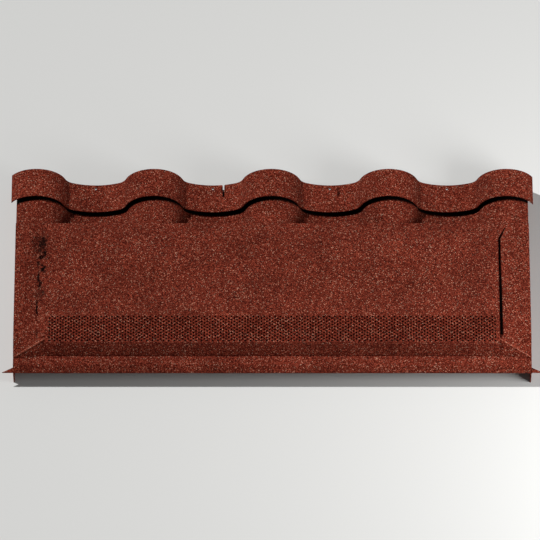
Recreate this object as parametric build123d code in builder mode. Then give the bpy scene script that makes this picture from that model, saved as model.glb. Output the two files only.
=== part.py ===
from build123d import *
import math
import os

os.makedirs("parts", exist_ok=True)

# Roof tile vent panel: a pressed pan with a raised vent hood, a waved head strip
# along its back edge and a perforated strip in the hood. Sizes in millimetres.
# +X runs across the waves, +Y up the roof, +Z up from the floor.

# Sheet
sheet = 2.0                                 # pressed steel with its granule coat
skirt_clear = 0.6                           # side skirts stand this far below the valleys

# Barrel wave, the underside of the pan's sheet
barrel_pitch = 228.0
barrel_count = 5
wave_height = 63.0
valley_radius = 120.0
valley_half_span = 46.8
foot_radius = 28.0
nest_offset = 1.8                           # pan's waves this far right, strip's this far left

# Depth stations, from the back edge forward
back_y = 214.8
ledge_depth = 24.0
head_depth = 60.1
flat_y = 100.6                              # the waves end here, at the back of the flat
ramp_front_y = 64.5
window_back_y = -111.3
window_depth = 58.8
hood_front_y = -170.8
slope_run = 14.0
apron_depth = 19.0
fold_run = 11.0

# Heights of the top face
flange_top = 66.0                           # just above the pan's crests
ramp_top = 76.0
hood_top = 79.0
apron_top = 49.0
front_edge_top = 39.0
hem_height = 3.0

# Widths
pan_half_width = 496.0
head_half_width = 506.0
hood_half_width = 435.0
ramp_flare = 20.0
window_side_margin = 3.0
ear_reach = 21.0
ear_depth = 11.0

# Front corners of the hood, where the flange lifts to meet the front slope
corner_lift_depth = 22.5
hip_start_back = 8.0                        # hips start this far behind the hood's front edge
hip_end_back = 3.0
hip_end_lift = 1.5
hip_end_run = 1.5

# Head strip
lip_gap = 12.0                              # clear height under the strip's front lip
nail_hole_diameter = 4.0
nail_back_margin = 8.0
open_slit_x = -95.0
open_slit_length = 26.0
open_slit_half_width = 3.0                  # at the back edge; the ledge's slit is this wide in all
closed_slit_x = 130.0
closed_slit_length = 20.0
closed_slit_width = 2.6
closed_slit_margin = 6.0

# Perforations
hole_diameter = 4.0
hole_column_pitch = 5.2
hole_row_pitch = 7.0
hole_side_margin = 4.0                      # from the strip's ends to the outer holes' centres
hole_edge_margin = 3.0                      # from the strip's long edges to the outer holes' centres

# Worked-out values
hollow_bottom = -5.0
valley_slope = math.asin(valley_half_span / valley_radius)
foot_reach = barrel_pitch / 2 - (valley_radius - foot_radius) * math.sin(valley_slope)
foot_rise = wave_height - (valley_radius - foot_radius) * (1 - math.cos(valley_slope))
flank_slope = 2 * math.atan2(foot_rise, foot_reach)
crest_radius = foot_reach / math.sin(flank_slope) - foot_radius
crest_centre_z = skirt_clear + wave_height - crest_radius
valley_centre_z = skirt_clear + valley_radius
crest_x = [(i - (barrel_count - 1) / 2) * barrel_pitch for i in range(barrel_count)]
nail_x = [x + barrel_pitch / 2 - nest_offset for x in crest_x[:-1]]
ledge_front_y = back_y - ledge_depth
head_front_y = back_y - head_depth
wall_y = flat_y - sheet
ledge_slit_front = ledge_front_y + 2 * sheet
closed_slit_back = back_y - closed_slit_margin
apron_back_y = hood_front_y - slope_run
fold_y = apron_back_y - apron_depth
front_y = fold_y - fold_run
window_front_y = window_back_y - window_depth
window_half_width = hood_half_width - window_side_margin
window_mid_y = (window_back_y + window_front_y) / 2
nail_y = back_y - nail_back_margin
hole_columns = int(2 * (window_half_width - hole_side_margin) / hole_column_pitch) + 1
hole_rows = int((window_depth - 2 * hole_edge_margin - hole_row_pitch / 2) / hole_row_pitch) + 1


def wave_arcs(offset, lift, half_width, shift):
    """Arcs of the wave, left to right, at a normal distance above the underside.

    Each arc is (centre x, centre z, radius, start angle, sweep) in degrees. The crest,
    foot and valley arcs are tangent, so every offset is made of concentric arcs.
    """
    flank = math.degrees(flank_slope)
    valley = math.degrees(valley_slope)
    crest_r = crest_radius + offset
    foot_r = foot_radius - offset
    valley_r = valley_radius - offset
    foot_dx = (crest_radius + foot_radius) * math.sin(flank_slope)
    foot_z = crest_centre_z + lift + (crest_radius + foot_radius) * math.cos(flank_slope)
    left_end = math.degrees(math.asin((half_width + crest_x[0] + shift) / crest_r))
    right_end = math.degrees(math.asin((half_width - crest_x[-1] - shift) / crest_r))
    arcs = []
    for i in range(barrel_count):
        x = crest_x[i] + shift
        left = left_end if i == 0 else flank
        right = right_end if i == barrel_count - 1 else flank
        if i > 0:
            arcs.append((x - foot_dx, foot_z, foot_r, 270 + valley, flank - valley))
        arcs.append((x, crest_centre_z + lift, crest_r, 90 + left, -left - right))
        if i < barrel_count - 1:
            arcs.append((x + foot_dx, foot_z, foot_r, 270 - flank, flank - valley))
            mid = x + barrel_pitch / 2
            arcs.append((mid, valley_centre_z + lift, valley_r, 270 - valley, 2 * valley))
    return arcs


def arc_point(arc, fraction):
    """Point of an arc at a fraction of its sweep."""
    angle = math.radians(arc[3] + fraction * arc[4])
    return (arc[0] + arc[2] * math.cos(angle), arc[1] + arc[2] * math.sin(angle))


def wave_edges(offset, lift, half_width, shift):
    """Draw the wave's arcs in the open BuildLine and return its two end points."""
    arcs = wave_arcs(offset, lift, half_width, shift)
    for arc in arcs:
        ThreePointArc(arc_point(arc, 0), arc_point(arc, 0.5), arc_point(arc, 1))
    return arc_point(arcs[0], 0), arc_point(arcs[-1], 1)


def close_down(first, last, bottom):
    """Close a section from its two top ends down to a bottom line."""
    Line(last, (last[0], bottom))
    Line((last[0], bottom), (first[0], bottom))
    Line((first[0], bottom), first)


def under_profile(points, gap):
    """Profile one sheet thickness inside a top profile that runs back to front."""
    lines = []
    for (y0, z0), (y1, z1) in zip(points[:-1], points[1:]):
        length = math.hypot(y1 - y0, z1 - z0)
        dy = (y1 - y0) / length
        dz = (z1 - z0) / length
        lines.append((y0 - dz * gap, z0 + dy * gap, dy, dz))
    inner = [(points[0][0], points[0][1] - gap)]
    for (ya, za, dya, dza), (yb, zb, dyb, dzb) in zip(lines[:-1], lines[1:]):
        cross = dya * dzb - dza * dyb
        along = ((yb - ya) * dzb - (zb - za) * dyb) / cross
        inner.append((ya + along * dya, za + along * dza))
    inner.append((inner[-1][0], hollow_bottom))
    return inner


# Top profiles of the pan, back to front, as (y, z)
front_profile = [
    (apron_back_y, apron_top),
    (fold_y, apron_top),
    (front_y, front_edge_top),
    (front_y, 0.0),
]
hood_profile = [
    (ramp_front_y, ramp_top),
    (window_back_y, hood_top),
    (hood_front_y, hood_top),
] + front_profile
flange_inner_profile = [
    (flat_y, flange_top),
    (hood_front_y + corner_lift_depth, flange_top),
    (hood_front_y + hip_start_back, hood_top),
] + front_profile
hip_end_y = apron_back_y - hip_end_back
flange_outer_profile = [
    (flat_y, flange_top),
    (hood_front_y + corner_lift_depth, flange_top),
    (hip_end_y, apron_top + hip_end_lift),
    (hip_end_y - hip_end_run, apron_top),
] + front_profile[1:]

# Vent pan
with BuildPart() as vent_pan:
    # Wave zone behind the flat
    with BuildSketch(Plane.XZ.offset(-flat_y)):
        with BuildLine():
            first, last = wave_edges(sheet, 0, pan_half_width, nest_offset)
            close_down(first, last, 0)
        make_face()
    extrude(amount=-(ledge_front_y - flat_y))
    # Raised ledge that carries the head strip
    with BuildSketch(Plane.XZ.offset(-ledge_front_y)):
        with BuildLine():
            first, last = wave_edges(sheet, lip_gap, pan_half_width, -nest_offset)
            close_down(first, last, 0)
        make_face()
    extrude(amount=-ledge_depth)
    # Side flanges, lifted at the front corners to the hips of the front slope
    for side in (-1, 1):
        with BuildSketch(Plane.YZ.offset(side * hood_half_width)):
            with BuildLine():
                Polyline((flat_y, 0), *flange_inner_profile, (flat_y, 0))
            make_face()
        with BuildSketch(Plane.YZ.offset(side * pan_half_width)):
            with BuildLine():
                Polyline((flat_y, 0), *flange_outer_profile, (flat_y, 0))
            make_face()
        loft(ruled=True)
    # Hood: flared back ramp, then the plateau, front slope and apron
    with BuildSketch(Plane.XZ.offset(-flat_y)):
        with Locations((0, flange_top / 2)):
            Rectangle(2 * (hood_half_width + ramp_flare), flange_top)
    with BuildSketch(Plane.XZ.offset(-ramp_front_y)):
        with Locations((0, ramp_top / 2)):
            Rectangle(2 * hood_half_width, ramp_top)
    loft(ruled=True)
    with BuildSketch(Plane.YZ.offset(-hood_half_width)):
        with BuildLine():
            Polyline((ramp_front_y, 0), *hood_profile, (ramp_front_y, 0))
        make_face()
    extrude(amount=2 * hood_half_width)
    # Hollow underside, one sheet thickness in, with a wall where the valleys end
    with BuildSketch(Plane.XZ.offset(-wall_y)):
        with BuildLine():
            first, last = wave_edges(0, 0, pan_half_width - sheet, nest_offset)
            close_down(first, last, hollow_bottom)
        make_face()
    extrude(amount=-(ledge_front_y + sheet - wall_y), mode=Mode.SUBTRACT)
    with BuildSketch(Plane.XZ.offset(-(ledge_front_y + sheet))):
        with BuildLine():
            first, last = wave_edges(0, lip_gap, pan_half_width - sheet, -nest_offset)
            close_down(first, last, hollow_bottom)
        make_face()
    extrude(amount=-ledge_depth, mode=Mode.SUBTRACT)
    for side in (-1, 1):
        with BuildSketch(Plane.YZ.offset(side * (hood_half_width - sheet))):
            with BuildLine():
                inner = under_profile([(wall_y, flange_top)] + flange_inner_profile[1:], sheet)
                Polyline((wall_y, hollow_bottom), *inner, (wall_y, hollow_bottom))
            make_face()
        with BuildSketch(Plane.YZ.offset(side * (pan_half_width - sheet))):
            with BuildLine():
                inner = under_profile([(wall_y, flange_top)] + flange_outer_profile[1:], sheet)
                Polyline((wall_y, hollow_bottom), *inner, (wall_y, hollow_bottom))
            make_face()
        loft(ruled=True, mode=Mode.SUBTRACT)
    with BuildSketch(Plane.XZ.offset(-wall_y)):
        with Locations((0, (flange_top - sheet + hollow_bottom) / 2)):
            ramp_back_width = 2 * (hood_half_width + ramp_flare - sheet)
            Rectangle(ramp_back_width, flange_top - sheet - hollow_bottom)
    with BuildSketch(Plane.XZ.offset(-ramp_front_y)):
        with Locations((0, (ramp_top - sheet + hollow_bottom) / 2)):
            Rectangle(2 * (hood_half_width - sheet), ramp_top - sheet - hollow_bottom)
    loft(ruled=True, mode=Mode.SUBTRACT)
    with BuildSketch(Plane.YZ.offset(-(hood_half_width - sheet))):
        with BuildLine():
            inner = under_profile(hood_profile, sheet)
            Polyline((ramp_front_y, hollow_bottom), *inner, (ramp_front_y, hollow_bottom))
        make_face()
    extrude(amount=2 * (hood_half_width - sheet), mode=Mode.SUBTRACT)
    # Open front under the hemmed edge
    with BuildSketch(Plane.XY.offset(hollow_bottom)):
        with Locations((0, front_y)):
            Rectangle(2 * (pan_half_width - sheet), 4 * sheet)
    hem_bottom = front_edge_top - hem_height
    extrude(amount=hem_bottom - hollow_bottom, mode=Mode.SUBTRACT)
    # Pointed ears at the front corners
    with BuildSketch(Plane.XY.offset(front_edge_top - sheet)):
        for side in (-1, 1):
            with BuildLine():
                Polyline(
                    (side * (pan_half_width - sheet), front_y),
                    (side * (pan_half_width + ear_reach), front_y),
                    (side * pan_half_width, front_y + ear_depth),
                    (side * (pan_half_width - sheet), front_y + ear_depth),
                    close=True,
                )
            make_face()
    extrude(amount=sheet)
    # Window for the perforated strip
    with BuildSketch(Plane.XY.offset(hood_top - 2 * sheet)):
        with Locations((0, window_mid_y)):
            Rectangle(2 * window_half_width, window_depth)
    extrude(amount=3 * sheet, mode=Mode.SUBTRACT)
    # Nail holes in the valleys of the ledge
    with BuildSketch(Plane.XY):
        with Locations(*[(x, nail_y) for x in nail_x]):
            Circle(nail_hole_diameter / 2)
    extrude(amount=wave_height, mode=Mode.SUBTRACT)
    # Slits in the ledge, below the head strip's own
    with BuildSketch(Plane.XY):
        with Locations((open_slit_x, (back_y + sheet + ledge_slit_front) / 2)):
            Rectangle(open_slit_half_width, back_y + sheet - ledge_slit_front)
        with Locations((closed_slit_x, (closed_slit_back - closed_slit_margin + ledge_slit_front) / 2)):
            Rectangle(closed_slit_width, closed_slit_back - closed_slit_margin - ledge_slit_front)
    extrude(amount=wave_height, mode=Mode.SUBTRACT)

vent_pan.part.label = "vent_pan"
export_step(vent_pan.part, "parts/vent_pan.step")

# Head strip, seated on the pan's ledge
with BuildPart() as head_strip:
    with BuildSketch(Plane.XZ.offset(-head_front_y)):
        with BuildLine():
            upper_first, upper_last = wave_edges(2 * sheet, lip_gap, head_half_width, -nest_offset)
            lower_first, lower_last = wave_edges(sheet, lip_gap, head_half_width, -nest_offset)
            Line(upper_first, lower_first)
            Line(upper_last, lower_last)
        make_face()
    extrude(amount=-head_depth)
    # Nail holes in the valleys
    with BuildSketch(Plane.XY):
        with Locations(*[(x, nail_y) for x in nail_x]):
            Circle(nail_hole_diameter / 2)
    extrude(amount=wave_height, mode=Mode.SUBTRACT)
    # Two slits at the back edge, one open and one closed
    with BuildSketch(Plane.XY):
        with BuildLine():
            Polyline(
                (open_slit_x - open_slit_half_width, back_y + sheet),
                (open_slit_x + open_slit_half_width, back_y + sheet),
                (open_slit_x, back_y - open_slit_length),
                close=True,
            )
        make_face()
        with Locations((closed_slit_x, closed_slit_back - closed_slit_length / 2)):
            SlotOverall(closed_slit_length, closed_slit_width, rotation=90)
    extrude(amount=2 * wave_height, mode=Mode.SUBTRACT)

head_strip.part.label = "head_strip"
export_step(head_strip.part, "parts/head_strip.step")

# Perforated strip, flush in the window of the hood
hole_points = []
for column in range(hole_columns):
    hole_x = (column - (hole_columns - 1) / 2) * hole_column_pitch
    stagger = hole_row_pitch / 4 if column % 2 else -hole_row_pitch / 4
    for row in range(hole_rows):
        hole_y = (row - (hole_rows - 1) / 2) * hole_row_pitch + stagger
        hole_points.append((hole_x, hole_y))

screen_bottom = hood_top - sheet
screen_wire = Wire.make_rect(2 * window_half_width, window_depth, Plane((0, window_mid_y, screen_bottom)))
hole_wires = [
    Wire.make_circle(hole_diameter / 2, Plane((x, window_mid_y + y, screen_bottom)))
    for x, y in hole_points
]
screen_face = Face(screen_wire, hole_wires)

with BuildPart() as vent_screen:
    extrude(screen_face, amount=sheet, dir=(0, 0, 1))

vent_screen.part.label = "vent_screen"
export_step(vent_screen.part, "parts/vent_screen.step")
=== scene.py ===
import logging
import math
from dataclasses import dataclass, field
from enum import Enum
from typing import Any, Sequence

import bpy
import numpy as np
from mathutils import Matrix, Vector


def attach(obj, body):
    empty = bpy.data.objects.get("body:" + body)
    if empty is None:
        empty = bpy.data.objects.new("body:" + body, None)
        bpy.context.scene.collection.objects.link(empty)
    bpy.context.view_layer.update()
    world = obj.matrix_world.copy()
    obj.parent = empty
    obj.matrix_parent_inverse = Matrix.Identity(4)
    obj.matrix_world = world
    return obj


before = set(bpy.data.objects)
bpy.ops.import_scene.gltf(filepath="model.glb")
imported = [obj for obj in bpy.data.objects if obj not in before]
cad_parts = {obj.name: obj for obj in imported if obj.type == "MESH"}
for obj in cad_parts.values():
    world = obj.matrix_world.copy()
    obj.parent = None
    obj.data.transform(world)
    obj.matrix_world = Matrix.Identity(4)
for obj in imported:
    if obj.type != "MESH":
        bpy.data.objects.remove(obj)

log = logging.getLogger("vent_panel")

MM = 0.001  # sizes below are in millimetres, meshes are in metres
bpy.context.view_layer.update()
WEAR_AND_SHADE = "wear_and_shade"  # mesh attribute, 1 where the granules have come off and where shade is painted as bare base coat
SEED = 1996
SHELF_GAP = 4.0  # between the patches of a UV map, in millimetres
Array = np.ndarray


class Side(Enum):
    """Which side of the panel a piece is on, as the sign of its x."""

    LEFT = -1
    RIGHT = 1


class Slot(Enum):
    """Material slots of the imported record."""

    PAN = "pan_coat"
    STRIP = "strip_coat"
    SCREEN = "screen_coat"


def linear(hex_colour: str) -> tuple[float, float, float, float]:
    """Turns an sRGB hex colour into linear RGBA.

    Args:
        hex_colour: Six hex digits, such as "5a2a21".

    Returns:
        Linear red, green, blue and an alpha of 1.
    """
    parts = [int(hex_colour[i:i + 2], 16) / 255 for i in (0, 2, 4)]
    bent = [c / 12.92 if c <= 0.04045 else ((c + 0.055) / 1.055) ** 2.4 for c in parts]
    return (bent[0], bent[1], bent[2], 1.0)


def add_node(tree: bpy.types.NodeTree, kind: str, settings: dict[str, Any] | None = None,
             values: dict[Any, Any] | None = None,
             links: dict[Any, bpy.types.NodeSocket] | None = None) -> bpy.types.Node:
    """Adds one node with its settings, input values and input links.

    Args:
        tree: Node tree that gets the node.
        kind: Blender's node type.
        settings: Properties of the node.
        values: Input name or index to its default value.
        links: Input name or index to the output socket that feeds it.

    Returns:
        The new node.
    """
    node = tree.nodes.new(kind)
    for name, value in (settings or {}).items():
        setattr(node, name, value)
    for key, value in (values or {}).items():
        node.inputs[key].default_value = value
    for key, socket in (links or {}).items():
        tree.links.new(socket, node.inputs[key])
    return node


@dataclass(frozen=True)
class GranuleCoat:
    """Crushed stone granules bonded to pressed steel with an acrylic base coat.

    To the eye it is a matt, sandpaper-like mix of dark and rusty grains with a few tan ones.
    The mesh attribute for wear and painted shade uncovers the dark base coat: where the granules
    have come off, and as painted shade.
    """

    name: str
    grains: tuple[tuple[str, float], ...]  # colour and share of each kind of grain
    bare: str = "0a0403"  # base coat where the granules have come off, also the colour of painted shade
    grain_mm: float = 1.2
    mottle_mm: float = 70.0
    mottle_low: float = 0.84
    mottle_high: float = 1.14
    mottle_detail: float = 3.0
    noise_low: float = 0.3  # range of the noise that the mottle spans
    noise_high: float = 0.7
    roughness: float = 0.95
    gloss: float = 0.05
    bump_mm: float = 0.35
    bump_strength: float = 0.8

    def build(self) -> bpy.types.Material:
        """Builds the node material.

        Returns:
            A material that reads Object coordinates only.
        """
        material = bpy.data.materials.new(self.name)
        material.use_nodes = True
        tree = material.node_tree
        tree.nodes.clear()
        place = add_node(tree, "ShaderNodeTexCoord").outputs["Object"]
        cells = add_node(tree, "ShaderNodeTexVoronoi", {"feature": "F1"},
                         {"Scale": 1 / (self.grain_mm * MM)}, {"Vector": place})
        pick = add_node(tree, "ShaderNodeSeparateColor", None, None,
                        {"Color": cells.outputs["Color"]})
        ramp = add_node(tree, "ShaderNodeValToRGB", None, None, {"Fac": pick.outputs["Red"]})
        self._fill_ramp(ramp.color_ramp)
        patches = add_node(tree, "ShaderNodeTexNoise", None,
                           {"Scale": 1 / (self.mottle_mm * MM), "Detail": self.mottle_detail},
                           {"Vector": place})
        level = add_node(tree, "ShaderNodeMapRange", None,
                         {"From Min": self.noise_low, "From Max": self.noise_high,
                          "To Min": self.mottle_low, "To Max": self.mottle_high},
                         {"Value": patches.outputs["Fac"]})
        tinted = add_node(tree, "ShaderNodeVectorMath", {"operation": "SCALE"}, None,
                          {"Vector": ramp.outputs["Color"], "Scale": level.outputs["Result"]})
        # dark base coat colour, for worn granules and for painted shade
        wear_and_shade = add_node(tree, "ShaderNodeAttribute", {"attribute_name": WEAR_AND_SHADE})
        worn_and_shaded = add_node(tree, "ShaderNodeMix", {"data_type": "RGBA"}, {7: linear(self.bare)},
                        {0: wear_and_shade.outputs["Fac"], 6: tinted.outputs["Vector"]})
        relief = add_node(tree, "ShaderNodeBump", None,
                          {"Strength": self.bump_strength, "Distance": self.bump_mm * MM},
                          {"Height": pick.outputs["Green"]})
        shader = add_node(tree, "ShaderNodeBsdfPrincipled", None,
                          {"Roughness": self.roughness, "Specular IOR Level": self.gloss},
                          {"Base Color": worn_and_shaded.outputs[2], "Normal": relief.outputs["Normal"]})
        add_node(tree, "ShaderNodeOutputMaterial", None, None, {"Surface": shader.outputs["BSDF"]})
        return material

    def _fill_ramp(self, ramp: bpy.types.ColorRamp) -> None:
        """Gives each kind of grain its share of the ramp, in flat steps."""
        ramp.interpolation = "CONSTANT"
        start = 0.0
        for index, (colour, share) in enumerate(self.grains):
            stop = ramp.elements[index] if index < 2 else ramp.elements.new(start)
            stop.position = start
            stop.color = linear(colour)
            start += share


RED_BROWN_GRAINS = (
    ("36100a", 0.24),
    ("561c12", 0.32),
    ("743022", 0.27),
    ("964431", 0.13),
    ("bc826a", 0.028),
    ("ac8672", 0.012),
)
# paler grains: painted highlight along the hips' ridges
HIP_HIGHLIGHT_GRAINS = (
    ("6a2a1e", 0.30),
    ("8c4230", 0.42),
    ("aa6450", 0.20),
    ("c49a84", 0.08),
)


@dataclass(frozen=True)
class BareSteel:
    """Zinc-coated steel scraped bare by a nail: a pale, dull grey ring to the eye."""

    name: str = "zinc_coated_steel_scraped"
    colour: str = "968e88"
    roughness: float = 0.6
    metallic: float = 0.3

    def build(self) -> bpy.types.Material:
        """Builds the node material.

        Returns:
            A plain dull metal-like finish.
        """
        material = bpy.data.materials.new(self.name)
        material.use_nodes = True
        tree = material.node_tree
        tree.nodes.clear()
        shader = add_node(tree, "ShaderNodeBsdfPrincipled", None,
                          {"Base Color": linear(self.colour), "Roughness": self.roughness,
                           "Metallic": self.metallic})
        add_node(tree, "ShaderNodeOutputMaterial", None, None, {"Surface": shader.outputs["BSDF"]})
        return material


@dataclass(frozen=True)
class BarrelWave:
    """The tile's wave: tangent crest, foot and valley arcs, repeated at one pitch."""

    pitch: float = 228.0
    crests: int = 5
    height: float = 63.0
    valley_radius: float = 120.0
    valley_half_span: float = 46.8
    foot_radius: float = 28.0
    floor: float = 0.6  # underside of the valleys above the skirts' feet

    def arcs(self, offset: float, half_width: float, shift: float) -> list[tuple[float, ...]]:
        """Arcs from left to right at a normal distance above the underside.

        The crest and foot share a slope whose half angle has the tangent rise / reach, which
        makes every arc tangent to the next.

        Args:
            offset: Normal distance above the underside.
            half_width: Where the outer crests are cut.
            shift: How far right of the middle the wave stands.

        Returns:
            Tuples of centre x, centre z, radius, start angle, sweep and outward sign.
        """
        valley = math.asin(self.valley_half_span / self.valley_radius)
        spare = self.valley_radius - self.foot_radius
        reach = self.pitch / 2 - spare * math.sin(valley)
        rise = self.height - spare * (1 - math.cos(valley))
        flank = 2 * math.atan2(rise, reach)
        crest_radius = reach / math.sin(flank) - self.foot_radius
        crest_z = self.floor + self.height - crest_radius
        foot_dx = (crest_radius + self.foot_radius) * math.sin(flank)
        foot_z = crest_z + (crest_radius + self.foot_radius) * math.cos(flank)
        outer = (self.crests - 1) / 2 * self.pitch
        cut_left = math.asin((half_width - outer + shift) / (crest_radius + offset))
        cut_right = math.asin((half_width - outer - shift) / (crest_radius + offset))
        down = 1.5 * math.pi
        arcs = []
        for i in range(self.crests):
            x = i * self.pitch - outer + shift
            left = cut_left if i == 0 else flank
            right = cut_right if i == self.crests - 1 else flank
            foot = self.foot_radius - offset
            if i > 0:
                arcs.append((x - foot_dx, foot_z, foot, down + valley, flank - valley, -1.0))
            arcs.append((x, crest_z, crest_radius + offset, math.pi / 2 + left, -left - right, 1.0))
            if i < self.crests - 1:
                arcs.append((x + foot_dx, foot_z, foot, down - flank, flank - valley, -1.0))
                arcs.append((x + self.pitch / 2, self.floor + self.valley_radius,
                             self.valley_radius - offset, down - valley, 2 * valley, -1.0))
        return arcs

    def trace(self, offset: float, half_width: float, shift: float,
              step: float) -> tuple[Array, Array]:
        """Points along the wave, evenly spaced along each arc.

        Args:
            offset: Normal distance above the underside.
            half_width: Where the outer crests are cut.
            shift: How far right of the middle the wave stands.
            step: Spacing of the points.

        Returns:
            Points (n, 2) as x and z, and their upward normals (n, 2).
        """
        points, normals = [], []
        for cx, cz, radius, start, sweep, sign in self.arcs(offset, half_width, shift):
            count = max(3, round(abs(sweep) * radius / step))
            angle = start + sweep * np.arange(count) / count
            ray = np.stack([np.cos(angle), np.sin(angle)], 1)
            points.append(np.array([cx, cz]) + radius * ray)
            normals.append(sign * ray)
        end = start + sweep
        ray = np.array([[math.cos(end), math.sin(end)]])
        points.append(np.array([cx, cz]) + radius * ray)
        normals.append(sign * ray)
        return np.concatenate(points), np.concatenate(normals)


@dataclass
class Skin:
    """A grid of surface points with their outward normals, in millimetres."""

    points: Array   # (rows, columns, 3)
    normals: Array  # (rows, columns, 3)
    wear_and_shade: Array | None = None  # (rows, columns), bare share of each point, painted shade included

    def edge_distance(self) -> Array:
        """Number of grid steps from each point to the nearest border."""
        rows, columns = self.points.shape[:2]
        row = np.minimum(np.arange(rows), np.arange(rows)[::-1])[:, None]
        column = np.minimum(np.arange(columns), np.arange(columns)[::-1])[None, :]
        return np.minimum(row, column)

    def granulated(self, rng: np.random.Generator, relief: "Relief",
                   bald: Array | None = None) -> Array:
        """Moves each point along its normal by a random grain height.

        The border and the bald points are sunk into the sheet below, and the row next to the
        border lies on the base.

        Args:
            rng: Seeded random numbers.
            relief: Heights of the grains.
            bald: Points without granules.

        Returns:
            Moved points of the same shape.
        """
        steps = self.edge_distance()
        if bald is not None:
            steps = np.where(bald, 0, steps)
        grain = rng.random(steps.shape) ** relief.bend
        lift = np.where(steps == 0, -relief.sunk,
                        relief.base + relief.height * grain * np.clip(steps - 1, 0, 1))
        moved = self.points + self.normals * lift[..., None]
        moved[..., 2] = np.minimum(moved[..., 2], relief.ceiling)
        return moved


def bilinear_skin(corners: Sequence[Sequence[float]], step: float) -> Skin:
    """Skin on a four-cornered face: P(u, v) is the bilinear mix of its corners.

    Args:
        corners: Back left, back right, front right, front left.
        step: Spacing of the points.

    Returns:
        Skin whose normals point up and out.
    """
    back_left, back_right, front_right, front_left = (np.array(c, float) for c in corners)
    across = max(np.linalg.norm(back_right - back_left), np.linalg.norm(front_right - front_left))
    along = max(np.linalg.norm(front_left - back_left), np.linalg.norm(front_right - back_right))
    u = np.linspace(0, 1, max(4, round(across / step) + 1))[None, :, None]
    v = np.linspace(0, 1, max(4, round(along / step) + 1))[:, None, None]
    points = ((1 - v) * ((1 - u) * back_left + u * back_right)
              + v * ((1 - u) * front_left + u * front_right))
    du = (1 - v) * (back_right - back_left) + v * (front_right - front_left)
    dv = (1 - u) * (front_left - back_left) + u * (front_right - back_right)
    normals = np.cross(dv, du + 0 * dv)
    normals = normals / np.linalg.norm(normals, axis=2, keepdims=True)
    return Skin(points, np.broadcast_to(normals, points.shape).copy())


@dataclass
class MeshPiece:
    """Grids gathered into one mesh object, each with its own patch of the UV map."""

    name: str
    vertices: list[Array] = field(default_factory=list)
    faces: list[Array] = field(default_factory=list)
    places: list[Array] = field(default_factory=list)
    wear_and_shade: list[Array] = field(default_factory=list)
    count: int = 0
    shelf: float = 0.0

    def add_grid(self, points: Array, keep: Array | None = None, wear_and_shade: Array | None = None) -> None:
        """Adds a grid as quads that wind so that their normals point up.

        Args:
            points: (rows, columns, 3), rows from back to front, columns from left to right.
            keep: Which points carry coat; a quad with no such corner is left out.
            wear_and_shade: Bare share of each point, painted shade included.
        """
        rows, columns = points.shape[:2]
        index = self.count + np.arange(rows * columns).reshape(rows, columns)
        corners = (np.s_[:-1, :-1], np.s_[1:, :-1], np.s_[1:, 1:], np.s_[:-1, 1:])
        quads = np.stack([index[c] for c in corners], -1)
        if keep is not None:
            quads = quads[np.any([keep[c] for c in corners], 0)]
        self.vertices.append(points.reshape(-1, 3))
        self.faces.append(quads.reshape(-1, 4))
        self.wear_and_shade.append(np.zeros(rows * columns) if wear_and_shade is None else wear_and_shade.ravel())
        self.places.append(self._shelve(points).reshape(-1, 2))
        self.count += rows * columns

    def _shelve(self, points: Array) -> Array:
        """Flattens a grid by its mean row and column lengths, on a shelf of the map."""
        across = np.linalg.norm(np.diff(points, axis=1), axis=2).mean(0)
        along = np.linalg.norm(np.diff(points, axis=0), axis=2).mean(1)
        u = np.concatenate([[0], np.cumsum(across)])[None, :]
        v = self.shelf + np.concatenate([[0], np.cumsum(along)])[:, None]
        self.shelf = float(v[-1, 0]) + SHELF_GAP
        return np.stack(np.broadcast_arrays(u, v), -1)

    def build(self, material: bpy.types.Material, slot: Slot) -> bpy.types.Object:
        """Makes the mesh object and rides it on the body.

        Args:
            material: Finish of the whole piece.
            slot: Record slot of the piece; not used.

        Returns:
            The new object.
        """
        vertices = np.concatenate(self.vertices) * MM
        faces = np.concatenate(self.faces)
        used, faces = np.unique(faces, return_inverse=True)
        faces = faces.reshape(-1, 4)
        places = np.concatenate(self.places)[used]
        places = places / places.max()
        mesh = bpy.data.meshes.new(self.name)
        mesh.vertices.add(len(used))
        mesh.vertices.foreach_set("co", vertices[used].astype(np.float32).ravel())
        mesh.loops.add(faces.size)
        mesh.loops.foreach_set("vertex_index", faces.astype(np.int32).ravel())
        mesh.polygons.add(len(faces))
        mesh.polygons.foreach_set("loop_start", np.arange(0, faces.size, 4, dtype=np.int32))
        mesh.update(calc_edges=True)
        mesh.uv_layers.new(name="OFBake").data.foreach_set(
            "uv", places[faces.ravel()].astype(np.float32).ravel())
        wear_and_shade = np.concatenate(self.wear_and_shade)[used]
        if wear_and_shade.any():
            mesh.attributes.new(WEAR_AND_SHADE, "FLOAT", "POINT").data.foreach_set(
                "value", wear_and_shade.astype(np.float32))
        mesh.materials.append(material)
        piece = bpy.data.objects.new(self.name, mesh)
        bpy.context.scene.collection.objects.link(piece)
        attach(piece, "root")
        log.info("%s: %d quads", self.name, len(faces))
        return piece


@dataclass
class Relief:
    """Heights of the granules over the sheet, in millimetres."""

    step: float = 1.5
    base: float = 0.05
    height: float = 0.55
    bend: float = 0.8  # below 1 there are more high grains than low ones
    sunk: float = 0.3
    ceiling: float = 79.58  # just under the crests' tops


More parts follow.
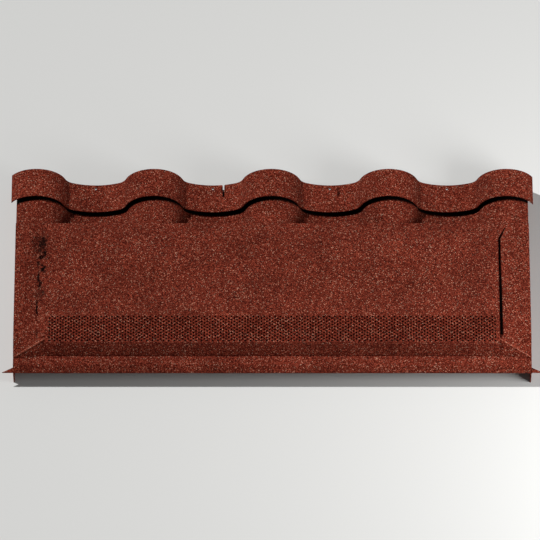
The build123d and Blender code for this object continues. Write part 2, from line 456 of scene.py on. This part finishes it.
@dataclass
class HeadStrip:
    """The waved strip along the back edge, coated on its upper face."""

    wave: BarrelWave
    relief: Relief
    sheet: float = 2.0
    lip_gap: float = 12.0
    shift: float = -1.8
    half_width: float = 506.0
    back_y: float = 214.8
    depth: float = 60.1
    nail_y: float = 206.8
    nail_radius: float = 2.0
    rim_radius: float = 2.6
    rim_points: int = 25
    rim_bevel: float = 0.3
    rim_rise: float = 0.15
    rim_inner_rise: float = 0.1
    rim_clear: float = 0.5  # bald width round a rim
    open_slit_x: float = -95.0
    open_slit_length: float = 26.0
    open_slit_half: float = 3.0  # at the back edge
    closed_slit_x: float = 130.0
    closed_slit_length: float = 20.0
    closed_slit_half: float = 1.3
    closed_slit_margin: float = 6.0
    slit_clear: float = 0.4  # bald width beside a slit
    slit_tip: float = 0.6  # half width below which the open slit is closed to the eye
    slit_end_clear: float = 1.0
    slit_shade: float = 1.7  # width of the painted shade beside a slit, as bare base coat
    slit_shade_start: float = 6.0
    slit_shade_past: float = 2.0

    def build(self, coat: bpy.types.Material, bare: bpy.types.Material,
              rng: np.random.Generator) -> None:
        """Lays the granules on the strip: the wave's trace carried straight along y.

        Args:
            coat: Granule finish.
            bare: Finish of the scraped rims of the nail holes.
            rng: Seeded random numbers.
        """
        trace, rays = self.wave.trace(2 * self.sheet, self.half_width, self.shift,
                                       self.relief.step)
        rows = round(self.depth / self.relief.step) + 1
        y = np.linspace(self.back_y, self.back_y - self.depth, rows)[:, None]
        points = np.stack(np.broadcast_arrays(
            trace[None, :, 0], y, trace[None, :, 1] + self.lip_gap), -1)
        normals = np.stack(np.broadcast_arrays(rays[None, :, 0], 0 * y, rays[None, :, 1]), -1)
        bald = self._bald(points)
        piece = MeshPiece("strip_granules")
        # the slits' edges get painted shade as bare base coat
        piece.add_grid(Skin(points, normals).granulated(rng, self.relief, bald), ~bald,
                       self._slit_shade(points))
        piece.build(coat, Slot.STRIP)
        self._rims(bare)

    def _nail_x(self) -> Array:
        """Middles of the valleys, where the nail holes are."""
        middle = (self.wave.crests - 2) / 2
        return (np.arange(self.wave.crests - 1) - middle) * self.wave.pitch + self.shift

    def _bald(self, points: Array) -> Array:
        """Points close to a nail hole or a slit, where the sheet shows."""
        x, y = points[..., 0], points[..., 1]
        bald = np.zeros(x.shape, bool)
        for nail_x in self._nail_x():
            bald |= np.hypot(x - nail_x, y - self.nail_y) < self.rim_radius + self.rim_clear
        open_half = self.open_slit_half * (1 + (y - self.back_y) / self.open_slit_length)
        bald |= ((abs(x - self.open_slit_x) < open_half + self.slit_clear)
                 & (open_half > self.slit_tip))
        return bald | self._near_closed(x, y, self.slit_clear)

    def _near_closed(self, x: Array, y: Array, margin: float) -> Array:
        """Points within a margin of the closed slit's sides, and just past its ends."""
        back = self.back_y - self.closed_slit_margin + self.slit_end_clear
        front = back - self.closed_slit_length - 2 * self.slit_end_clear
        near = abs(x - self.closed_slit_x) < self.closed_slit_half + margin
        return near & (y < back) & (y > front)

    def _slit_shade(self, points: Array) -> Array:
        """Painted shade, as bare base coat, along the edges of both slits behind their open end."""
        x, y = points[..., 0], points[..., 1]
        depth = self.back_y - y
        open_half = self.open_slit_half * np.clip(1 - depth / self.open_slit_length, 0, 1)
        near_open = ((abs(x - self.open_slit_x) < open_half + self.slit_shade)
                     & (depth > self.slit_shade_start)
                     & (depth < self.open_slit_length + self.slit_shade_past))
        return np.where(near_open | self._near_closed(x, y, self.slit_shade), 1.0, 0.0)

    def _rims(self, bare: bpy.types.Material) -> None:
        """Scraped rings round the nail holes.

        P(r, a) = (-r sin a, -r cos a) about the hole, from a sunk outer edge over a low bevel
        to the hole's own radius.
        """
        turn = np.linspace(0, 2 * np.pi, self.rim_points)[None, :]
        radius = np.array([self.rim_radius, self.rim_radius - self.rim_bevel,
                           self.nail_radius])[:, None]
        top = self.wave.floor + self.lip_gap + 2 * self.sheet
        height = top + np.array([-self.relief.sunk, self.rim_rise,
                                 self.rim_inner_rise])[:, None] + 0 * turn
        piece = MeshPiece("nail_hole_rims")
        for nail_x in self._nail_x():
            piece.add_grid(np.stack([nail_x - radius * np.sin(turn),
                                     self.nail_y - radius * np.cos(turn), height], -1))
        piece.build(bare, Slot.STRIP)


@dataclass
class VentPan:
    """The pressed pan: wave zone, hood, flanges, front slope and apron."""

    wave: BarrelWave
    relief: Relief
    sheet: float = 2.0
    half_width: float = 496.0
    hood_half_width: float = 435.0
    ramp_flare: float = 20.0
    shift: float = 1.8
    ledge_front_y: float = 190.8
    lip_shade_y: float = 152.6  # painted shade under the head strip's lip, as bare base coat, starts behind this line
    flat_y: float = 100.6
    ramp_front_y: float = 64.5
    window_back_y: float = -111.3
    corner_y: float = -148.3
    hip_start_y: float = -162.8
    hood_front_y: float = -170.8
    apron_back_y: float = -184.8
    hip_end_y: float = -187.8
    hip_foot_y: float = -189.3
    fold_y: float = -203.8
    front_y: float = -214.8
    flange_top: float = 66.0
    ramp_top: float = 76.0
    hood_top: float = 79.0
    hip_end_top: float = 50.5
    apron_top: float = 49.0
    front_edge_top: float = 39.0
    ridge_left: float = 1.9
    ridge_right: float = 1.1
    ridge_sunk: float = 0.6
    ridge_points: int = 15
    ridge_end: float = 0.3  # share of the thickness at a ridge's ends
    ridge_taper: float = 8.0
    ridge_grain: float = 0.5  # share of the granules' height
    wall_shadow_back: float = 5.5  # painted shadow of the right wall on the flange, as bare base coat
    wall_shadow_front: float = 8.0
    wall_shadow_end: float = 2.0
    wall_shadow_end_y: float = 91.0

    def build(self, coat: bpy.types.Material, hip_highlight: bpy.types.Material,
              rng: np.random.Generator) -> None:
        """Lays the granules on every upper face of the pan.

        Args:
            coat: Granule finish.
            hip_highlight: Paler granule finish of the hips' ridges, a painted highlight.
            rng: Seeded random numbers.
        """
        self._coat("wave_granules", self._wave_skins(), coat, rng)
        self._coat("hood_granules", self._hood_skins(), coat, rng)
        self._coat("flange_granules", self._flange_skins(), coat, rng)
        self._coat("apron_granules", self._apron_skins(), coat, rng)
        self._hip_ridges(hip_highlight, rng)

    def _coat(self, name: str, skins: list[Skin], coat: bpy.types.Material,
              rng: np.random.Generator) -> None:
        """Joins granulated skins into one piece."""
        piece = MeshPiece(name)
        for skin in skins:
            piece.add_grid(skin.granulated(rng, self.relief), wear_and_shade=skin.wear_and_shade)
        piece.build(coat, Slot.PAN)

    def _hip_ridges(self, hip_highlight: bpy.types.Material, rng: np.random.Generator) -> None:
        """Ridges of the hips: round beads, thinner at both ends and half sunk, in paler granules as
        a painted highlight.

        P(t, a) = start + t (end - start) + r (sin a up - cos a across) with r = r(t).
        """
        piece = MeshPiece("hip_ridges")
        angle = np.linspace(-0.5 * np.pi, 1.5 * np.pi, self.ridge_points)[None, :, None]
        for side in Side:
            start = np.array([self.hood_half_width * side.value, self.hip_start_y, self.hood_top])
            end = np.array([self.half_width * side.value, self.hip_end_y, self.hip_end_top])
            run = (end - start) / np.linalg.norm(end - start)
            up = np.array([0.0, 0.0, 1.0]) - run[2] * run
            up = up / np.linalg.norm(up)
            rows = round(np.linalg.norm(end - start) / self.relief.step) + 1
            t = np.linspace(0, 1, rows)[:, None, None]
            thick = self.ridge_left if side is Side.LEFT else self.ridge_right
            swell = self.ridge_end + self.ridge_taper * np.minimum(t, 1 - t)
            grain = self.ridge_grain * self.relief.height * rng.random((rows, angle.size, 1))
            radius = thick * np.minimum(1, swell) + grain
            radius[:, -1] = radius[:, 0]
            ray = np.sin(angle) * up - np.cos(angle) * np.cross(up, run)
            points = start - self.ridge_sunk * up + t * (end - start) + radius * ray
            points[..., 2] = np.minimum(points[..., 2], self.relief.ceiling)
            piece.add_grid(points)
        piece.build(hip_highlight, Slot.PAN)

    def _wave_skins(self) -> list[Skin]:
        """Wave zone: the wave's trace carried straight along y, from the riser to the flat.

        The shade under the head strip's lip is painted there as bare base coat.

        Returns:
            One skin over all the waves.
        """
        trace, rays = self.wave.trace(self.sheet, self.half_width, self.shift, self.relief.step)
        rows = round((self.ledge_front_y - self.flat_y) / self.relief.step) + 1
        y = np.linspace(self.ledge_front_y, self.flat_y, rows)[:, None]
        points = np.stack(np.broadcast_arrays(trace[None, :, 0], y, trace[None, :, 1]), -1)
        normals = np.stack(np.broadcast_arrays(rays[None, :, 0], 0 * y, rays[None, :, 1]), -1)
        lip_shade = np.clip(y - self.lip_shade_y, 0, 1) * np.ones(len(trace))
        return [Skin(points, normals, lip_shade)]

    def _hood_skins(self) -> list[Skin]:
        """Back ramp and plateau."""
        wide = self.hood_half_width + self.ramp_flare
        hood = self.hood_half_width
        faces = [
            [(-wide, self.flat_y, self.flange_top), (wide, self.flat_y, self.flange_top),
             (hood, self.ramp_front_y, self.ramp_top), (-hood, self.ramp_front_y, self.ramp_top)],
            self._level(-hood, hood, self.ramp_front_y, self.window_back_y,
                        self.ramp_top, self.hood_top),
        ]
        return [bilinear_skin(face, self.relief.step) for face in faces]

    @staticmethod
    def _level(left: float, right: float, back: float, front: float,
               back_top: float, front_top: float) -> list[tuple[float, float, float]]:
        """Corners of a face that is level from left to right."""
        return [(left, back, back_top), (right, back, back_top),
                (right, front, front_top), (left, front, front_top)]

    def _flange_skins(self) -> list[Skin]:
        """Side flanges and the lifted corners up to the hips."""
        skins = []
        for side in Side:
            inner, outer = self.hood_half_width * side.value, self.half_width * side.value
            top = self.flange_top
            flat = [(inner, self.flat_y, top), (outer, self.flat_y, top),
                    (outer, self.corner_y, top), (inner, self.corner_y, top)]
            corner = [(inner, self.corner_y, top), (outer, self.corner_y, top),
                      (outer, self.hip_end_y, self.hip_end_top),
                      (inner, self.hip_start_y, self.hood_top)]
            for face in (flat, corner):
                ordered = face if side is Side.RIGHT else [face[1], face[0], face[3], face[2]]
                skins.append(bilinear_skin(ordered, self.relief.step))
            if side is Side.RIGHT:
                # painted shadow of the hood's right wall on the flat flange
                skins[-2].wear_and_shade = self._wall_shadow(skins[-2].points)
        return skins

    def _wall_shadow(self, points: Array) -> Array:
        """Painted shadow of the right wall on the flange, as bare base coat: a band that widens to
        the front.

        At the back it follows the flared edge of the ramp and runs out before the flat.
        """
        x, y = points[..., 0], points[..., 1]
        edge = np.interp(y, [self.ramp_front_y, self.flat_y],
                         [self.hood_half_width, self.hood_half_width + self.ramp_flare])
        width = np.interp(y, [self.corner_y, self.ramp_front_y, self.wall_shadow_end_y],
                          [self.wall_shadow_front, self.wall_shadow_back, self.wall_shadow_end])
        return np.where(y < self.wall_shadow_end_y, np.clip(width - (x - edge), 0, 1), 0.0)

    def _apron_skins(self) -> list[Skin]:
        """Front slope with its hips, apron and the fold at the front edge."""
        hood, wide = self.hood_half_width, self.half_width
        faces = [
            [(-hood, self.hood_front_y, self.hood_top), (hood, self.hood_front_y, self.hood_top),
             (hood, self.apron_back_y, self.apron_top), (-hood, self.apron_back_y, self.apron_top)],
            [(-wide, self.hip_end_y, self.hip_end_top), (-hood, self.hip_start_y, self.hood_top),
             (-hood, self.apron_back_y, self.apron_top), (-wide, self.hip_foot_y, self.apron_top)],
            [(hood, self.hip_start_y, self.hood_top), (wide, self.hip_end_y, self.hip_end_top),
             (wide, self.hip_foot_y, self.apron_top), (hood, self.apron_back_y, self.apron_top)],
            self._level(-hood, hood, self.apron_back_y, self.fold_y,
                        self.apron_top, self.apron_top),
            self._level(-wide, wide, self.fold_y, self.front_y,
                        self.apron_top, self.front_edge_top),
            [(-wide, self.hip_foot_y, self.apron_top), (-hood, self.apron_back_y, self.apron_top),
             (-hood, self.fold_y, self.apron_top), (-wide, self.fold_y, self.apron_top)],
            [(hood, self.apron_back_y, self.apron_top), (wide, self.hip_foot_y, self.apron_top),
             (wide, self.fold_y, self.apron_top), (hood, self.fold_y, self.apron_top)],
        ]
        return [bilinear_skin(face, self.relief.step) for face in faces]


@dataclass(frozen=True)
class Dent:
    """One dent of the crumpled wall, an ellipse on the plan, darkened as painted crumple shade and
    as granules partly gone.
    """

    x: float
    y: float
    half_x: float
    half_y: float
    bare: float  # darkened share: painted crumple shade and granules gone
    depth: float


@dataclass
class CrumpledWall:
    """The hood's left wall, crushed outwards into a creased slope with dents darkened by painted
    crumple shade and bare base coat.
    """

    relief: Relief
    back_y: float = 84.0
    front_y: float = -160.0
    left_x: float = -468.0
    right_x: float = -429.0
    foot_x: float = -455.0
    edge_x: float = -434.0
    flange_top: float = 66.0
    ramp_back_y: float = 100.6
    ramp_front: tuple[float, float] = (64.5, 76.0)
    plateau_front: tuple[float, float] = (-111.3, 79.0)
    crumple: float = 1.3
    crumple_length: float = 22.0
    crumple_least: float = 0.12  # share of the slope that the flat foot takes its crumple from
    ragged_length: float = 6.0
    dent_bell: float = 1.5
    dent_dark_level: float = 1.9  # dark up to here in half sizes of a dent, before its fall: painted shade and bare coat
    dent_dark_fall: float = 1.5
    dent_dark_ragged: float = 0.5
    kept_share: float = 0.15  # grains that stay in a dent
    kept_wear_and_shade: float = 0.4
    lay: float = 0.4  # height of the crushed sheet over the flange, and how far borders sink
    flange_clear: float = 0.15
    grain: float = 0.45
    edge_rise: float = 0.35  # the sheet's fold over the hood's edge
    edge_fall: float = 0.5
    edge_run: float = 4.0
    border: float = 3.0
    step_x: float = 0.9
    step_y: float = 1.1
    dents: tuple[Dent, ...] = (
        Dent(-448, 50, 16, 24, 0.6, 0.5),
        Dent(-460, 60, 3, 10, 0.8, 0.4),
        Dent(-456, 66, 7, 6, 0.85, 0.6),
        Dent(-443, 53, 10, 14, 0.95, 4.0),
        Dent(-447, 38, 5, 6, 0.9, 2.0),
        Dent(-438, 28, 5.5, 7, 1.0, 4.5),
        Dent(-445, 22, 6, 4, 1.0, 3.0),
        Dent(-450.5, 10, 2.4, 11, 1.0, 1.0),
        Dent(-441, -6, 6, 8, 1.0, 4.0),
        Dent(-450, -22, 2.6, 11, 1.0, 1.0),
        Dent(-447.5, -39, 5.5, 9, 1.0, 2.6),
        Dent(-447, -60, 9, 13, 0.55, 0.6),
        Dent(-440, -60, 2.4, 11, 0.85, 2.6),
        Dent(-452, -90, 2.2, 26, 1.0, 0.8),
        Dent(-451, -146, 2.0, 12, 0.8, 0.6),
    )

    def build(self, coat: bpy.types.Material, rng: np.random.Generator) -> None:
        """Lays the crushed sheet over the wall as a height field z(x, y).

        The slope is an S-curve from the flange to the hood's edge. Each dent takes its depth
        times a bell from it, and random waves crumple it. The borders sink into the sheet.

        Args:
            coat: Granule finish.
            rng: Seeded random numbers.
        """
        x, y = np.meshgrid(np.arange(self.left_x, self.right_x, self.step_x),
                           np.arange(self.back_y, self.front_y, -self.step_y))
        hood = self._hood_top(y)
        share = np.clip((x - self.foot_x) / (self.edge_x - self.foot_x), 0, 1)
        swell = share * share * (3 - 2 * share)
        ragged = self._waves(x, y, rng, self.ragged_length)
        z = self.flange_top + self.lay + (hood - self.flange_top) * swell
        loose = np.sin(np.pi * np.clip(share, self.crumple_least, 1))
        z = z + self.crumple * loose * self._waves(x, y, rng, self.crumple_length)
        worn_and_shaded = np.zeros(x.shape)
        for dent in self.dents:
            far = np.hypot((x - dent.x) / dent.half_x, (y - dent.y) / dent.half_y)
            z = z - dent.depth * np.exp(-self.dent_bell * far ** 2)
            # dark patch of the dent: painted crumple shade and bare base coat
            bald = self.dent_dark_level - self.dent_dark_fall * far + self.dent_dark_ragged * ragged
            worn_and_shaded = np.maximum(worn_and_shaded, dent.bare * np.clip(bald, 0, 1))
        speckle = rng.random(x.shape)
        worn_and_shaded = np.where(speckle < self.kept_share, self.kept_wear_and_shade * worn_and_shaded, worn_and_shaded)
        z = np.maximum(z, self.flange_top + self.flange_clear) + self.grain * speckle
        fold = self.edge_fall * np.clip((x - self.edge_x) / self.edge_run, 0, 1)
        z = np.where(x > self.edge_x, hood + self.edge_rise - fold, z)
        ends = np.minimum(self.back_y - y, y - self.front_y - self.step_y)
        rim = np.clip(np.minimum(x - self.left_x, ends) / self.border, 0, 1)
        floor = np.where(x > self.edge_x, hood, self.flange_top) - self.lay
        piece = MeshPiece("crumpled_wall")
        z = np.minimum(floor + rim * (z - floor), self.relief.ceiling)
        piece.add_grid(np.stack([x, y, z], -1), wear_and_shade=worn_and_shaded)
        piece.build(coat, Slot.PAN)

    def _hood_top(self, y: Array) -> Array:
        """Height of the hood's top face along y."""
        return np.interp(y, [self.plateau_front[0], self.ramp_front[0], self.ramp_back_y],
                         [self.plateau_front[1], self.ramp_front[1], self.flange_top])

    @staticmethod
    def _waves(x: Array, y: Array, rng: np.random.Generator, length: float) -> Array:
        """Smooth random waves: a sum of eight sines with lengths about the given one."""
        total = np.zeros(np.broadcast(x, y).shape)
        for turn, phase, stretch in zip(rng.random(8) * np.pi, rng.random(8) * 6.3,
                                        0.6 + rng.random(8)):
            wave = 2 * np.pi / (length * stretch)
            total += np.sin(wave * (np.cos(turn) * x + np.sin(turn) * y) + phase)
        return total / 3.0


@dataclass
class Studio:
    """Pale floor, soft light and the camera at the photograph's angle."""

    floor_half: float = 40.0
    floor_colour: str = "d6d6d4"
    elevation_deg: float = 60.0
    distance: float = 12.0
    target: tuple[float, float, float] = (-0.0044, 0.0109, 0.040)
    metres_per_pixel: float = 0.00193
    image_px: int = 540
    sensor_mm: float = 36.0
    clip_end: float = 200.0
    # black cards on the floor: painted shade under the hood and the slits
    shade_card_colour: str = "0b0b0b"
    matt_roughness: float = 0.9
    shade_card_lift: float = 0.0002
    shade_cards: tuple[tuple[float, float, float, float], ...] = (
        (-0.43, 0.43, -0.18, 0.09),      # under the hood
        (-0.107, -0.083, 0.15, 0.2145),  # under the open slit
        (0.118, 0.142, 0.15, 0.2145),    # under the closed slit
    )
    to_sun: tuple[float, float, float] = (-0.48, 0.22, 0.86)
    sun_strength: float = 2.85
    sun_angle_deg: float = 1.5
    sky_strength: float = 0.10
    sky_seen: float = 0.75  # brightness of the sky in the picture itself
    fill_place: tuple[float, float, float] = (1.3, -0.5, 0.6)
    fill_watts: float = 11.5
    fill_size: float = 0.6

    def build(self) -> None:
        """Builds the floor, lamps, world and camera."""
        self._floor()
        self._lamps()
        self._world()
        self._camera()
        bpy.context.scene.view_settings.view_transform = "Standard"

    def _floor(self) -> None:
        """Lays a large matt square, and black cards on it as painted shade under the hood and the
        slits, seen through the holes and slits above.
        """
        half = self.floor_half
        self._lay("floor", [(-half, half, -half, half)], 0.0,
                  self._matt("pale_matt_board", self.floor_colour))
        self._lay("painted_shade_cards", self.shade_cards, self.shade_card_lift,
                  self._matt("painted_shade_card", self.shade_card_colour))

    @staticmethod
    def _lay(name: str, spans: Sequence[Sequence[float]], height: float,
             material: bpy.types.Material) -> None:
        """Lays level rectangles as one mesh of the stage.

        Args:
            name: Name of the object.
            spans: Left, right, front and back of each rectangle, in metres.
            height: Their height above the ground.
            material: Finish of all of them.
        """
        points = [(x, y, height) for left, right, front, back in spans
                  for x, y in ((left, front), (right, front), (right, back), (left, back))]
        quads = [tuple(range(4 * i, 4 * i + 4)) for i in range(len(spans))]
        mesh = bpy.data.meshes.new(name)
        mesh.from_pydata(points, [], quads)
        mesh.materials.append(material)
        item = bpy.data.objects.new(name, mesh)
        bpy.context.scene.collection.objects.link(item)

    def _matt(self, name: str, colour: str) -> bpy.types.Material:
        """A plain matt finish of the studio."""
        material = bpy.data.materials.new(name)
        material.use_nodes = True
        shader = material.node_tree.nodes["Principled BSDF"]
        shader.inputs["Base Color"].default_value = linear(colour)
        shader.inputs["Roughness"].default_value = self.matt_roughness
        return material

    def _lamps(self) -> None:
        """Hangs a key lamp high on the left and a weak wide one low on the right."""
        lamp = bpy.data.lights.new("key_lamp", "SUN")
        lamp.energy = self.sun_strength
        lamp.angle = math.radians(self.sun_angle_deg)
        key = bpy.data.objects.new("key_lamp", lamp)
        key.rotation_euler = Vector(self.to_sun).to_track_quat("Z", "Y").to_euler()
        soft = bpy.data.lights.new("fill_lamp", "AREA")
        soft.energy = self.fill_watts
        soft.size = self.fill_size
        fill = bpy.data.objects.new("fill_lamp", soft)
        fill.location = self.fill_place
        fill.rotation_euler = Vector(self.fill_place).to_track_quat("Z", "Y").to_euler()
        for item in (key, fill):
            bpy.context.scene.collection.objects.link(item)

    def _world(self) -> None:
        """Surrounds the panel with an even pale sky."""
        world = bpy.data.worlds.new("pale_sky")
        world.use_nodes = True
        tree = world.node_tree
        tree.nodes.clear()
        ray = add_node(tree, "ShaderNodeLightPath")
        level = add_node(tree, "ShaderNodeMapRange", None,
                         {"To Min": self.sky_strength, "To Max": self.sky_seen},
                         {"Value": ray.outputs["Is Camera Ray"]})
        sky = add_node(tree, "ShaderNodeBackground", None, {"Color": (1.0, 1.0, 1.0, 1.0)},
                       {"Strength": level.outputs["Result"]})
        add_node(tree, "ShaderNodeOutputWorld", None, None, {"Surface": sky.outputs["Background"]})
        bpy.context.scene.world = world

    def _camera(self) -> None:
        """Sets a long lens far off, so that the sides stay almost parallel."""
        lift = math.radians(self.elevation_deg)
        data = bpy.data.cameras.new("camera")
        data.sensor_width = self.sensor_mm
        data.lens = self.distance / self.metres_per_pixel / self.image_px * self.sensor_mm
        data.clip_end = self.clip_end
        camera = bpy.data.objects.new("camera", data)
        x, y, z = self.target
        camera.location = (x, y - self.distance * math.cos(lift),
                           z + self.distance * math.sin(lift))
        camera.rotation_euler = (math.pi / 2 - lift, 0.0, 0.0)
        bpy.context.scene.collection.objects.link(camera)
        bpy.context.scene.camera = camera


def dress_node(node: bpy.types.Object, material: bpy.types.Material) -> None:
    """Gives a CAD node its finish.

    Args:
        node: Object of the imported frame.
        material: Finish for all of it.
    """
    node.data.materials.clear()
    node.data.materials.append(material)


def main() -> None:
    """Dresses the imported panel, adds its granules, and sets the studio."""
    logging.basicConfig(level=logging.INFO)
    rng = np.random.default_rng(SEED)
    coat = GranuleCoat("granule_coat_red_brown", RED_BROWN_GRAINS).build()
    strip_coat = GranuleCoat("granule_coat_strip", RED_BROWN_GRAINS, mottle_low=0.93,
                             mottle_high=1.25).build()
    for name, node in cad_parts.items():
        dress_node(node, strip_coat if name == "head_strip" else coat)
        log.info("%s: dressed", name)
    wave = BarrelWave()
    relief = Relief()
    HeadStrip(wave, relief).build(strip_coat, BareSteel().build(), rng)
    # paler granule finish: painted highlight on the hips' ridges
    hip_highlight = GranuleCoat("granule_coat_hip_highlight", HIP_HIGHLIGHT_GRAINS).build()
    VentPan(wave, relief).build(coat, hip_highlight, rng)
    CrumpledWall(relief).build(coat, rng)
    Studio().build()


if __name__ == "__main__":
    main()
